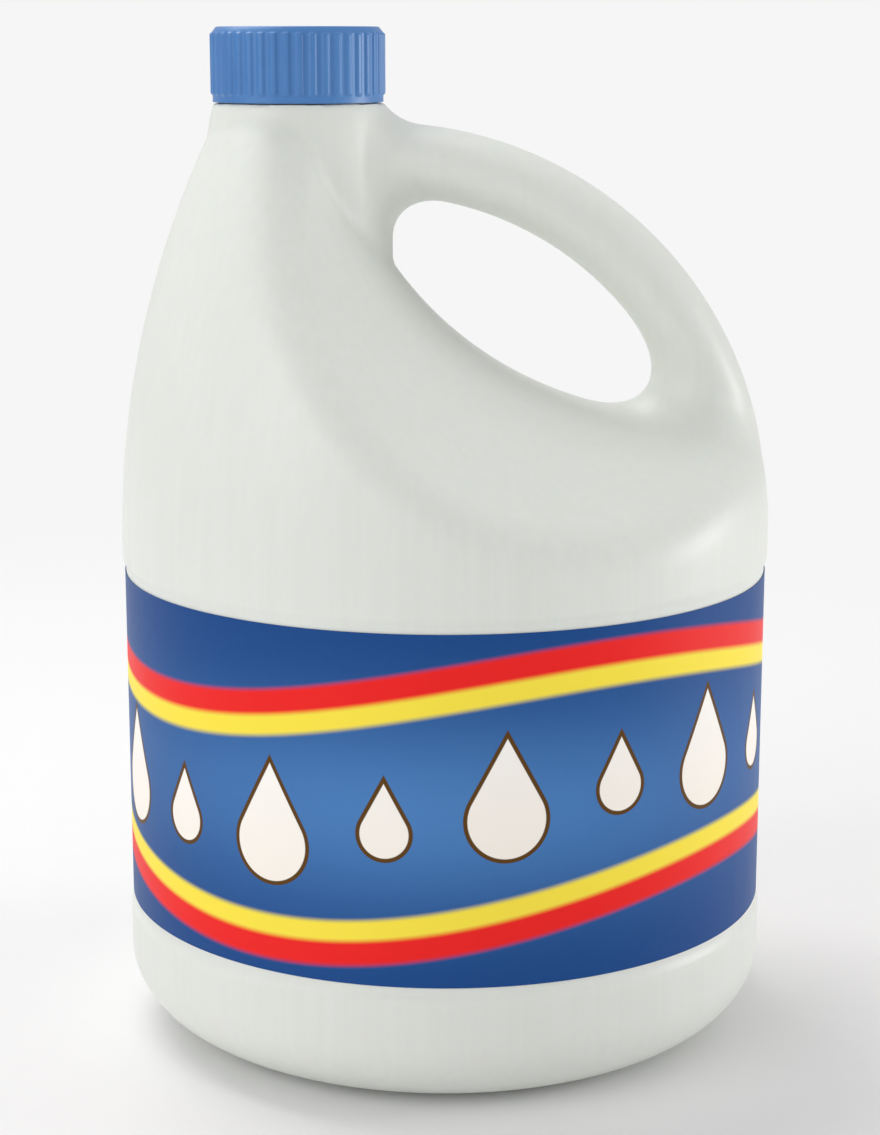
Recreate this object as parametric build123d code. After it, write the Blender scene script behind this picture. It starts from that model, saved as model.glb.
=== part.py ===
"""A blow-moulded bleach jug with a hollow handle, a wrap label and a screw cap.

Millimetres, +Z up. The origin is the middle of the base. The front is -Y, the neck
stands off to -X and the handle arches over to +X.
"""

from build123d import *
import math
import os

# Bottle body
panel_radius = 81.0  # round panel that carries the label
panel_recess = 0.8  # how far the panel lies inside the shoulder and the heel
panel_step = 2.4  # height of the soft step above and below the panel
label_low = 34.2  # lower edge of the label
label_height = 84.0
label_margin = 1.3  # bare panel above and below the label
heel_width = 26.0  # of the rounding between the side and the base, inwards
heel_height = 20.0
base_ring_width = 4.5  # flat ring that the jug stands on
base_rise = 7.0  # height of the hollow under the base, in its middle
base_dish = 9.0  # width of the slope from the ring up into the hollow
wall = 1.1
heel_point_shares = (0, 1 / 3, 2 / 3, 1)  # ends of the flats that line the heel inside

# Dome and neck
shoulder_band = 2.1  # plain band between the panel's upper step and the dome
dome_rise = 109.5  # from there to the ledge under the cap
neck_inset = 45.6  # neck axis, measured inwards from the shoulder's -X side
neck_radius = 20.8  # at the ledge
neck_flare = 1.6  # how much wider the neck is further down
neck_flare_drop = 16.5  # height over which it flares
neck_sink = 2.4  # how far the dome's top stays inside the neck
dome_power_share = 2.4  # fullness of the dome
dome_level_shares = (0.0, 0.12, 0.25, 0.40, 0.55, 0.70, 0.85, 1.0)

# Finger pocket behind the handle
pocket_inset = 20.6  # lowest point of the saddle under the handle, inwards from the shoulder's +X side
pocket_rise = 31.4  # of that point, above the shoulder
pocket_bite = 7.84  # at the ledge, from the neck's axis to the pocket, towards +X
pocket_depth = 70.0  # distance to the front at which the next three are measured
pocket_growth = 103.8  # by which the circle's radius has grown there
pocket_lift = 77.4  # by which its centre has gone up
pocket_shift = 34.1  # by which its centre has gone towards +X
pocket_overrun = 10.2  # past the body on both sides
pocket_slice_shares = (-1.0, -0.5, 0.0, 0.5, 1.0)

# Handle
handle_thickness = 17.8  # across the tube, in the plane of the arch
handle_width = 26.0  # across the tube, front to back
handle_crown_run = 20.2  # from the neck axis to the highest point of the arch
handle_drop = 4.7  # from the ledge down to that point
handle_foot_rise = 21.5  # from the shoulder up to where the tube ends inside the dome
handle_foot_inset = 0.9  # there, how far its outside lies inside the dome
handle_start_angle = 104.0  # elevation, in degrees, of its start inside the neck

# Blends
crease_blend = 10.0  # along the edge of the pocket, outside
crease_flat = 5.0  # there, inside
neck_blend = 5.0
handle_blend = 4.5  # where the handle leaves the neck
foot_blend = 9.0  # where it runs into the shoulder

# Threaded mouth
mouth_radius = 17.9  # outside of the tube, at the thread's root
mouth_wall = 1.6
mouth_height = 16.4  # from the ledge to the rim
rim_chamfer = 0.5
thread_lead = 8.0  # rise of one turn
thread_starts = 2
thread_height = 1.3
thread_root_width = 2.4
thread_crest_width = 1.0
thread_low = 2.6  # from the ledge to the middle of a ridge's lower end
thread_turns = 1.4
thread_sink = 0.3  # how far a ridge reaches into its wall

# Cap
cap_gap = 0.3  # between the skirt and the ledge
cap_top = 1.4
cap_wall = 1.3  # skirt without the ribs
cap_chamfer = 1.3
cap_band = 1.6  # plain band at the foot of the skirt
rib_count = 42
rib_height = 0.5
rib_width = 1.7
thread_clearance = 0.5  # from each crest to the wall that it faces
cap_thread_turns = 1.3

# Liner
liner_thickness = 0.6
liner_clearance = 0.35  # between the disc's edge and the skirt

# Label
label_thickness = 0.25
label_clearance = 0.05
label_lap = 8.0  # overlap of the two ends, at the back

# Derived
shoulder_radius = panel_radius + panel_recess
panel_low = label_low - label_margin
panel_high = label_low + label_height + label_margin
shoulder_height = panel_high + panel_step + shoulder_band
seat_height = shoulder_height + dome_rise
neck_offset = shoulder_radius - neck_inset
column_radius = neck_radius + neck_flare
dome_top_radius = neck_radius - neck_sink
pocket_centre = shoulder_radius - pocket_inset
pocket_floor = shoulder_height + pocket_rise
pocket_half_width = shoulder_radius + pocket_overrun
handle_top = seat_height - handle_drop
handle_foot_height = shoulder_height + handle_foot_rise
rim_height = seat_height + mouth_height
skirt_inner = mouth_radius + thread_height + thread_clearance
skirt_outer = skirt_inner + cap_wall
cap_low = seat_height + cap_gap
cap_ceiling = rim_height + liner_thickness
cap_high = cap_ceiling + cap_top
standing = (Align.CENTER, Align.CENTER, Align.MIN)


def turned(outline, axis):
    """A closed outline turned right round an axis."""
    return revolve(make_face(outline), axis=axis)


def lower_body(heel, inset):
    """Base, heel, label panel and shoulder, up to where the dome starts."""
    side = shoulder_radius - inset
    panel = panel_radius - inset
    ring_outer = shoulder_radius - heel_width
    ring_inner = ring_outer - base_ring_width
    rest = Polyline(
        (ring_outer, inset),
        (ring_inner, inset),
        (ring_inner - base_dish, base_rise + inset),
        (0, base_rise + inset),
        (0, shoulder_height),
        (side, shoulder_height),
        (side, panel_high + panel_step),
        (panel, panel_high),
        (panel, panel_low),
        (side, panel_low - panel_step),
        (side, heel_height),
    )
    return Rot(0, 0, 180) * turned(Plane.XZ * (heel + rest), Axis.Z)


def round_heel(inset=0):
    """The rounding between the base and the side, a quarter of an ellipse."""
    middle = (shoulder_radius - heel_width, heel_height)
    return EllipticalCenterArc(middle, heel_width - inset, heel_height - inset, -90, arc_size=90)


def flat_heel():
    """The same rounding inside the bottle, as flats, where the plastic is thicker."""
    arc = round_heel(wall)
    return Polyline(*[arc @ share for share in heel_point_shares])


def flank(height):
    """X of the side below the neck, an arc that starts upright on the shoulder."""
    run = shoulder_radius - neck_offset - dome_top_radius
    rise = seat_height - shoulder_height
    radius = (run**2 + rise**2) / (2 * run)
    return radius - shoulder_radius - math.sqrt(radius**2 - (height - shoulder_height) ** 2)


def dome_radius(share):
    """Radius of the dome, full at the shoulder and as narrow as the neck on top."""
    return dome_top_radius + (shoulder_radius - dome_top_radius) * (1 - share**dome_power_share)


def dome_level(share, inset):
    """One round level of the dome. Its -X side follows the flank."""
    height = shoulder_height + share * (seat_height - inset - shoulder_height)
    radius = dome_radius(share)
    return Pos(flank(height) + radius, 0, height) * Rot(0, 0, 180) * Circle(radius - inset)


def dome(inset):
    """The leaning dome, skinned over its levels."""
    return loft([dome_level(share, inset) for share in dome_level_shares])


def pocket_radius():
    """Radius in the plane of the arch, from the saddle's lowest point up to the ledge's height."""
    run = pocket_centre + neck_offset - pocket_bite
    rise = seat_height - pocket_floor
    return (run**2 + rise**2) / (2 * rise)


def pocket_slice(share, inset):
    """One round slice of the pocket, wider and higher the further it is from the arch."""
    across = share * pocket_half_width
    grown = (across / pocket_depth) ** 2
    slope = 2 * across / pocket_depth**2 * (pocket_growth - pocket_lift)
    radius = pocket_radius() + grown * pocket_growth + inset * math.hypot(1, slope)
    centre = (
        pocket_centre + grown * pocket_shift,
        pocket_floor + pocket_radius() + grown * pocket_lift,
    )
    return Plane.XZ.offset(across) * Pos(*centre) * Circle(radius)


def pocket(inset):
    """The room for the fingers, skinned over its slices. It opens out to the front and the back."""
    return loft([pocket_slice(share, inset) for share in pocket_slice_shares])


def neck_column(inset):
    """The round neck, which runs down into the body beside the pocket."""
    foot = pocket_floor + handle_thickness
    wide = column_radius - inset
    outline = Polyline(
        (0, foot),
        (wide, foot),
        (wide, seat_height - neck_flare_drop),
        (neck_radius - neck_flare - inset, seat_height + neck_flare_drop),
        (0, seat_height + neck_flare_drop),
        (0, foot),
    )
    return Pos(-neck_offset, 0, 0) * turned(Plane.XZ * outline, Axis.Z)


def handle(inset):
    """The hollow handle, an oval tube along an arc from inside the neck to inside the dome."""
    crown = (handle_crown_run - neck_offset, handle_top)
    run = foot_x() - crown[0]
    rise = crown[1] - handle_foot_height
    radius = (run**2 + rise**2) / (2 * rise)
    start = math.radians(handle_start_angle)
    end = math.asin((radius - rise) / radius)
    along = Plane(
        origin=(crown[0], 0, crown[1] - radius),
        x_dir=(math.cos(start), 0, math.sin(start)),
        z_dir=(math.sin(start), 0, -math.cos(start)),
    )
    half = handle_thickness / 2
    section = along * Pos(radius - half, 0) * Ellipse(half - inset, handle_width / 2 - inset)
    return revolve(section, axis=Axis(along.origin, (0, 1, 0)), revolution_arc=math.degrees(start - end))


def foot_x():
    """X of the handle's outside where it ends, just inside the dome."""
    share = (handle_foot_height - shoulder_height) / (seat_height - shoulder_height)
    return flank(handle_foot_height) + 2 * dome_radius(share) - handle_foot_inset


def crease(bulk, scoop, cut):
    """The edge of the pocket, without the stretch that the neck covers."""
    rim = new_edges(bulk, scoop, combined=cut)
    return rim.filter_by(lambda edge: edge.center().Z < seat_height - neck_sink)


def outer_body():
    """Body, dome and neck with the finger pocket, whose edge is rounded."""
    bulk = lower_body(round_heel(), 0) + dome(0)
    scoop = pocket(0)
    cut = bulk - scoop
    body = cut.fillet(crease_blend, crease(bulk, scoop, cut))
    neck = neck_column(0)
    joined = body + neck
    return joined.fillet(neck_blend, new_edges(body, neck, combined=joined))


def inner_body():
    """The room inside them, with a flat along the pocket's edge, where the plastic is thicker."""
    bulk = lower_body(flat_heel(), wall) + dome(wall)
    scoop = pocket(wall)
    cut = bulk - scoop
    return chamfer(crease(bulk, scoop, cut), crease_flat) + neck_column(wall)


def below(height, body):
    """What of the body lies below a height."""
    return split(body, Plane.XY.offset(height), keep=Keep.BOTTOM)


def rooted(body, arch):
    """The body with the handle on it, its foot well rounded and its top less so."""
    joined = body + arch
    foot = new_edges(body, arch, combined=joined).filter_by(lambda edge: edge.center().X > 0)
    joined = joined.fillet(foot_blend, foot)
    top = new_edges(body, arch, combined=joined).filter_by(lambda edge: edge.center().X < 0)
    return joined.fillet(handle_blend, top)


def outside():
    """The bottle's outer form up to the ledge."""
    return below(seat_height, rooted(outer_body(), handle(0)))


def inside():
    """The space inside. At the handle's roots the plastic is thicker, so they stay sharp in here."""
    return below(seat_height - wall, inner_body() + handle(wall))


def thread(radius, turns, height, low, start):
    """One helical ridge on a wall, outwards for a positive height and inwards for a negative one."""
    sink = math.copysign(thread_sink, height)
    line = Helix(thread_lead, thread_lead * turns, radius)
    profile = Plane(origin=line @ 0, x_dir=(1, 0, 0), z_dir=line % 0) * make_face(
        Polyline(
            (-sink, -thread_root_width / 2),
            (height, -thread_crest_width / 2),
            (height, thread_crest_width / 2),
            (-sink, thread_root_width / 2),
            (-sink, -thread_root_width / 2),
        )
    )
    ridge = sweep(profile, path=line, is_frenet=True)
    return Pos(-neck_offset, 0, low) * Rot(0, 0, start) * ridge


def threads(radius, turns, height, lag=0):
    """The ridges of all starts, evenly spaced round the neck."""
    step = 360 / thread_starts
    low = seat_height + thread_low
    return [thread(radius, turns, height, low, lag + step * count) for count in range(thread_starts)]


def mouth():
    """The threaded tube above the ledge, with its rim chamfered."""
    foot = seat_height - wall
    tube = Pos(-neck_offset, 0, foot) * Cylinder(mouth_radius, rim_height - foot, align=standing)
    return chamfer(tube.edges().sort_by(Axis.Z)[-1], rim_chamfer)


def bore():
    """The way in through the mouth."""
    foot = seat_height - neck_flare_drop
    depth = rim_height + neck_flare_drop - foot
    return Pos(-neck_offset, 0, foot) * Cylinder(mouth_radius - mouth_wall, depth, align=standing)


def jug_body():
    """The blown bottle in one piece, hollow to the handle, with its threaded mouth."""
    bottle = outside() - inside() + mouth() - bore()
    return bottle + threads(mouth_radius, thread_turns, thread_height)


def cap_outside():
    """Ribbed skirt between two plain bands, with a chamfered top."""
    rib = Pos(skirt_outer, 0) * Rectangle(2 * rib_height, rib_width)
    rim = Circle(skirt_outer) + [Rot(0, 0, count * 360 / rib_count) * rib for count in range(rib_count)]
    height = cap_high - cap_low
    ribbed = extrude(Pos(0, 0, cap_band) * rim, amount=height - cap_band - cap_chamfer)
    plain = chamfer(
        Cylinder(skirt_outer, height, align=standing).edges().sort_by(Axis.Z)[-1], cap_chamfer
    )
    return Pos(-neck_offset, 0, cap_low) * (plain + ribbed)


def screw_cap():
    """The screw cap, a ribbed cup with the thread inside its skirt."""
    room = Pos(-neck_offset, 0, cap_low) * Cylinder(skirt_inner, cap_ceiling - cap_low, align=standing)
    depth = skirt_inner - mouth_radius - thread_clearance
    ridges = threads(skirt_inner, cap_thread_turns, -depth, lag=180 / thread_starts)
    return cap_outside() - room + ridges


def cap_liner():
    """The sealing disc between the cap's ceiling and the rim."""
    radius = skirt_inner - liner_clearance
    return Pos(-neck_offset, 0, rim_height) * Cylinder(radius, liner_thickness, align=standing)


def ring(inner, thickness, low, height):
    """A thin upright ring round the jug's axis."""
    outline = Pos(inner + thickness / 2, low + height / 2) * Rectangle(thickness, height)
    return revolve(Plane.XZ * outline, axis=Axis.Z)


def label():
    """The wrap label in its recess, with one end glued over the other at the back."""
    inner = panel_radius + label_clearance
    wrap = ring(inner, label_thickness, label_low, label_height)
    lap = ring(inner, 2 * label_thickness, label_low, label_height)
    behind = Pos(0, inner, label_low) * Box(label_lap, inner, label_height, align=standing)
    return wrap + (lap & behind)


def main():
    """Write every piece to its own file."""
    os.makedirs("parts", exist_ok=True)
    for piece in (jug_body, label, screw_cap, cap_liner):
        solid = piece()
        solid.label = piece.__name__
        export_step(solid, f"parts/{piece.__name__}.step")


main()
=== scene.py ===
"""Dresses the bleach jug: its blown shell, the printed wrap label, the ribbed screw cap and the studio.

Every length is in metres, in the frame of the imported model. A size that the model's boxes give is
read from them, and the rest are fields of the class that shapes the piece.
"""

import logging
import math
from contextlib import contextmanager
from dataclasses import dataclass, field
from enum import Enum
from typing import Any, Callable, Iterator, Union

import bmesh
import bpy
import numpy as np
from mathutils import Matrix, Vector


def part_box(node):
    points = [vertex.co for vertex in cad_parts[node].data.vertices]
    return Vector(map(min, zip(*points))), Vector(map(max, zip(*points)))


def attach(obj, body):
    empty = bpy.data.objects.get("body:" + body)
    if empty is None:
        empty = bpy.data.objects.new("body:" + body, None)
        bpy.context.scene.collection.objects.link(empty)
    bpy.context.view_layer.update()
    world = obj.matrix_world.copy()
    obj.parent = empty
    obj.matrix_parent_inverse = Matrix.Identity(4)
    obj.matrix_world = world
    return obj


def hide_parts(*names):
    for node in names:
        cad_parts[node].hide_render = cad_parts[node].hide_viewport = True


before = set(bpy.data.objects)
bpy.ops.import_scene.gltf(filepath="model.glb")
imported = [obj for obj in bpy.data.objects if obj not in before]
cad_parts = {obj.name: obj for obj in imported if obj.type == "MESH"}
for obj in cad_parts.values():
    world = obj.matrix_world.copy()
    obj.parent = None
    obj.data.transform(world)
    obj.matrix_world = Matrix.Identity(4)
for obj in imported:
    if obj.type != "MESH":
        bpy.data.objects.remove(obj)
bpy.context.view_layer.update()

LOG = logging.getLogger("jug")
MM = 0.001
HAIR = 0.001 * MM  # what lies nearer than this touches
LEAST_LENGTH = 1e-6  # this and the next two are the least that a sum is divided by
LEAST_NORMAL = 1e-9
LEAST_SLOPE = 0.05
SLOPE_STEP = 0.02 * MM
LANDING_STEPS = 2
SHARP_ANGLE = math.radians(40.0)  # past it an edge is shaded sharp
TURN = 2 * math.pi

Array = np.ndarray
Field = tuple[Array, Array]
FieldOf = Callable[[Array], Array]
Triple = tuple[float, float, float]
Colour = Triple
Socket = bpy.types.NodeSocket
Material = bpy.types.Material
Paint = Union[Colour, Socket]


def srgb(red: int, green: int, blue: int) -> Colour:
    """Turns a colour as it is seen on a screen into the linear one that a shader takes.

    Args:
        red: Red, 0 to 255.
        green: Green, 0 to 255.
        blue: Blue, 0 to 255.

    Returns:
        The linear colour, each part 0 to 1.
    """
    parts = (part / 255 for part in (red, green, blue))
    return tuple(part / 12.92 if part <= 0.04045 else ((part + 0.055) / 1.055) ** 2.4 for part in parts)


class Value:
    """A number that varies over a surface: a node's output that can be used in sums."""

    def __init__(self, graph: "Graph", socket: Socket) -> None:
        """Keeps the socket and the graph that it belongs to."""
        self.graph = graph
        self.socket = socket

    def _maths(self, operation: str, *values: "Number") -> "Value":
        """Adds a Math node over these values."""
        node = self.graph.node("ShaderNodeMath", {"operation": operation}, dict(enumerate(values)))
        return Value(self.graph, node.outputs[0])

    def __add__(self, other: "Number") -> "Value":
        """The sum."""
        return self._maths("ADD", self, other)

    __radd__ = __add__

    def __sub__(self, other: "Number") -> "Value":
        """The difference."""
        return self._maths("SUBTRACT", self, other)

    def __rsub__(self, other: "Number") -> "Value":
        """The difference, the other way round."""
        return self._maths("SUBTRACT", other, self)

    def __mul__(self, other: "Number") -> "Value":
        """The product."""
        return self._maths("MULTIPLY", self, other)

    __rmul__ = __mul__

    def __truediv__(self, other: "Number") -> "Value":
        """The quotient."""
        return self._maths("DIVIDE", self, other)

    def __neg__(self) -> "Value":
        """The value with its sign turned."""
        return self._maths("MULTIPLY", self, -1)

    def call(self, operation: str, *others: "Number") -> "Value":
        """Any other operation of the Math node, with this value first.

        Args:
            operation: The operation's name, such as SINE.
            *others: Its further inputs.

        Returns:
            The result.
        """
        return self._maths(operation, self, *others)

    def below(self, edge: "Number", soft: float) -> "Value":
        """A mask that is 1 below an edge and 0 above it.

        Args:
            edge: The value at which the mask is a half.
            soft: The half width of its smooth step.

        Returns:
            The mask.
        """
        settings = {"interpolation_type": "SMOOTHSTEP"}
        inputs = {"Value": self - edge, "From Min": -soft, "From Max": soft, "To Min": 1.0, "To Max": 0.0}
        return Value(self.graph, self.graph.node("ShaderNodeMapRange", settings, inputs).outputs[0])


Number = Union[Value, float, int]


@dataclass(frozen=True)
class Noise:
    """Noise from 0 to 1: its waves for each metre along the three axes, and its octaves."""

    waves: Triple
    octaves: float = 2.0


class Graph:
    """The nodes of one material."""

    def __init__(self, name: str) -> None:
        """Makes an empty material.

        Args:
            name: The material's name.
        """
        self.material = bpy.data.materials.new(name)
        self.material.use_nodes = True
        self.tree = self.material.node_tree
        self.tree.nodes.clear()
        self.output = self.tree.nodes.new("ShaderNodeOutputMaterial")
        self.coordinates = self.node("ShaderNodeTexCoord", {}, {}).outputs["Object"]

    def node(self, kind: str, settings: dict[str, Any], inputs: dict[Any, Any]) -> bpy.types.Node:
        """Adds a node.

        Args:
            kind: The node's type.
            settings: Its properties, set first.
            inputs: The value, or the socket to link, of each input, by name or number.

        Returns:
            The node.
        """
        made = self.tree.nodes.new(kind)
        for name, setting in settings.items():
            setattr(made, name, setting)
        for key, content in inputs.items():
            content = content.socket if isinstance(content, Value) else content
            if isinstance(content, Socket):
                self.tree.links.new(content, made.inputs[key])
            else:
                made.inputs[key].default_value = content
        return made

    def place(self) -> tuple[Value, Value, Value]:
        """The three coordinates of the shaded point, in metres."""
        split = self.node("ShaderNodeSeparateXYZ", {}, {0: self.coordinates})
        return tuple(Value(self, output) for output in split.outputs)

    def noise(self, kind: Noise) -> Value:
        """Adds noise.

        Args:
            kind: Its waves and octaves.

        Returns:
            The noise, 0 to 1.
        """
        mapped = self.node("ShaderNodeMapping", {}, {"Vector": self.coordinates, "Scale": kind.waves})
        inputs = {"Vector": mapped.outputs[0], "Scale": 1.0, "Detail": kind.octaves}
        return Value(self, self.node("ShaderNodeTexNoise", {}, inputs).outputs[0])

    def mix(self, factor: Number, low: Paint, high: Paint) -> Socket:
        """Mixes two colours, which are the node's inputs 6 and 7 and its output 2.

        Args:
            factor: The share of the second.
            low: The first, a colour or a socket.
            high: The second.

        Returns:
            The mixed colour's socket.
        """
        inputs = {0: factor, 6: self._colour(low), 7: self._colour(high)}
        return self.node("ShaderNodeMix", {"data_type": "RGBA"}, inputs).outputs[2]

    @staticmethod
    def _colour(content: Paint) -> Union[tuple[float, ...], Socket]:
        """A colour with its alpha, or the socket as it is."""
        return content if isinstance(content, Socket) else (*content, 1.0)

    def end(self, shader: bpy.types.Node) -> Material:
        """Ends the material in a shader.

        Args:
            shader: The shader's node.

        Returns:
            The finished material.
        """
        self.tree.links.new(shader.outputs[0], self.output.inputs[0])
        return self.material


@dataclass(frozen=True, kw_only=True)
class Finish:
    """What the finishes share: a roughness that varies, a plain reflection and a fine bump."""

    roughness: float
    roughness_spread: float = 0.08
    specular: float = 0.3
    bump_strength: float = 0.2
    bump_depth: float = 0.1 * MM

    def shader(self, graph: Graph, colour: Socket, wear: Value, others: dict[str, Any]) -> bpy.types.Node:
        """Adds the Principled shader.

        Args:
            graph: The material's nodes.
            colour: The colour's socket.
            wear: Noise that the roughness follows.
            others: What else the finish sets.

        Returns:
            The shader's node.
        """
        rough = self.roughness + self.roughness_spread * (wear - 0.5)
        inputs = {"Base Color": colour, "Roughness": rough, "Specular IOR Level": self.specular}
        return graph.node("ShaderNodeBsdfPrincipled", {}, {**inputs, **others})

    def bump(self, graph: Graph, height: Value) -> Socket:
        """A bumped normal.

        Args:
            graph: The material's nodes.
            height: The bump's height, 0 to 1.

        Returns:
            The normal's socket.
        """
        inputs = {"Strength": self.bump_strength, "Distance": self.bump_depth, "Height": height}
        return graph.node("ShaderNodeBump", {}, inputs).outputs[0]


@dataclass(frozen=True, kw_only=True)
class JugPlastic(Finish):
    """Natural white blown polyethylene, satin, with faint die lines, mottling and a parting line."""

    pale: Colour = srgb(231, 233, 228)
    deep: Colour = srgb(219, 222, 215)
    streaks: Noise = Noise((420.0, 420.0, 6.0), 3.0)
    clouds: Noise = Noise((28.0, 28.0, 22.0))
    peel: Noise = Noise((900.0, 900.0, 900.0))
    streak_share: float = 0.55
    streak_height: float = 0.25
    peel_height: float = 0.12
    parting_height: float = 0.9
    parting_width: float = 0.35 * MM
    milky_share: float = 0.06
    milky_depth: float = 2 * MM
    roughness: float = 0.40
    specular: float = 0.42
    bump_strength: float = 0.25
    bump_depth: float = 0.12 * MM

    def build(self) -> Material:
        """Makes the material: upright streaks from the die and soft clouds tint it and roughen it."""
        graph = Graph("jug_plastic")
        _, along, _ = graph.place()
        streaks, clouds, peel = (graph.noise(kind) for kind in (self.streaks, self.clouds, self.peel))
        pale = self.streak_share * streaks + (1 - self.streak_share) * clouds
        parting = along.call("ABSOLUTE").below(self.parting_width, self.parting_width / 2)
        height = self.peel_height * peel + self.streak_height * streaks + self.parting_height * parting
        others = {
            "Subsurface Weight": self.milky_share,
            "Subsurface Scale": self.milky_depth,
            "Normal": self.bump(graph, height),
        }
        return graph.end(self.shader(graph, graph.mix(pale, self.deep, self.pale), clouds, others))


@dataclass(frozen=True, kw_only=True)
class CapPlastic(Finish):
    """Moulded blue polypropylene, satin, with faint flow clouds."""

    blue: Colour = srgb(58, 112, 177)
    light: Colour = srgb(84, 138, 199)
    clouds: Noise = Noise((60.0, 60.0, 40.0), 3.0)
    grain: Noise = Noise((1500.0, 1500.0, 1500.0))
    roughness: float = 0.36
    roughness_spread: float = 0.1
    specular: float = 0.45
    bump_depth: float = 0.05 * MM

    def build(self) -> Material:
        """Makes the material: flow clouds tint and roughen it, and a fine grain bumps it."""
        graph = Graph("cap_plastic")
        clouds, grain = graph.noise(self.clouds), graph.noise(self.grain)
        tint = graph.mix(clouds, self.blue, self.light)
        return graph.end(self.shader(graph, tint, clouds, {"Normal": self.bump(graph, grain)}))


@dataclass(frozen=True, kw_only=True)
class LinerFoam(Finish):
    """White closed-cell foam of the sealing disc."""

    white: Colour = srgb(238, 238, 234)
    shade: Colour = srgb(222, 222, 217)
    cells: Noise = Noise((1800.0, 1800.0, 1800.0), 3.0)
    roughness: float = 0.67
    roughness_spread: float = 0.1
    bump_strength: float = 0.3
    bump_depth: float = 0.06 * MM

    def build(self) -> Material:
        """Makes the material: fine cells tint, roughen and bump it."""
        graph = Graph("liner_foam")
        cells = graph.noise(self.cells)
        tint = graph.mix(cells, self.shade, self.white)
        return graph.end(self.shader(graph, tint, cells, {"Normal": self.bump(graph, cells)}))


@dataclass(frozen=True, kw_only=True)
class FloorPaper(Finish):
    """Pale paper, which the camera sees as plain background well away from the jug."""

    pale: Colour = srgb(243, 243, 243)
    shade_share: float = 0.985
    fibre: Noise = Noise((90.0, 90.0, 90.0), 3.0)
    fade_radius: float = 0.46
    fade_width: float = 0.30
    roughness: float = 0.75
    roughness_spread: float = 0.1
    specular: float = 0.2

    def build(self, background: Colour) -> Material:
        """Makes the material.

        Args:
            background: The colour that it fades to.

        Returns:
            The material.
        """
        graph = Graph("floor_paper")
        across, along, _ = graph.place()
        fibre = graph.noise(self.fibre)
        tint = graph.mix(fibre, tuple(self.shade_share * part for part in self.pale), self.pale)
        paper = self.shader(graph, tint, fibre, {})
        plain = graph.node("ShaderNodeEmission", {}, {"Color": (*background, 1.0), "Strength": 1.0})
        seen = Value(graph, graph.node("ShaderNodeLightPath", {}, {}).outputs["Is Camera Ray"])
        away = (across * across + along * along).call("SQRT")
        far = (1 - away.below(self.fade_radius, self.fade_width)) * seen
        shaders = {0: far, 1: paper.outputs[0], 2: plain.outputs[0]}
        return graph.end(graph.node("ShaderNodeMixShader", {}, shaders))


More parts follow.
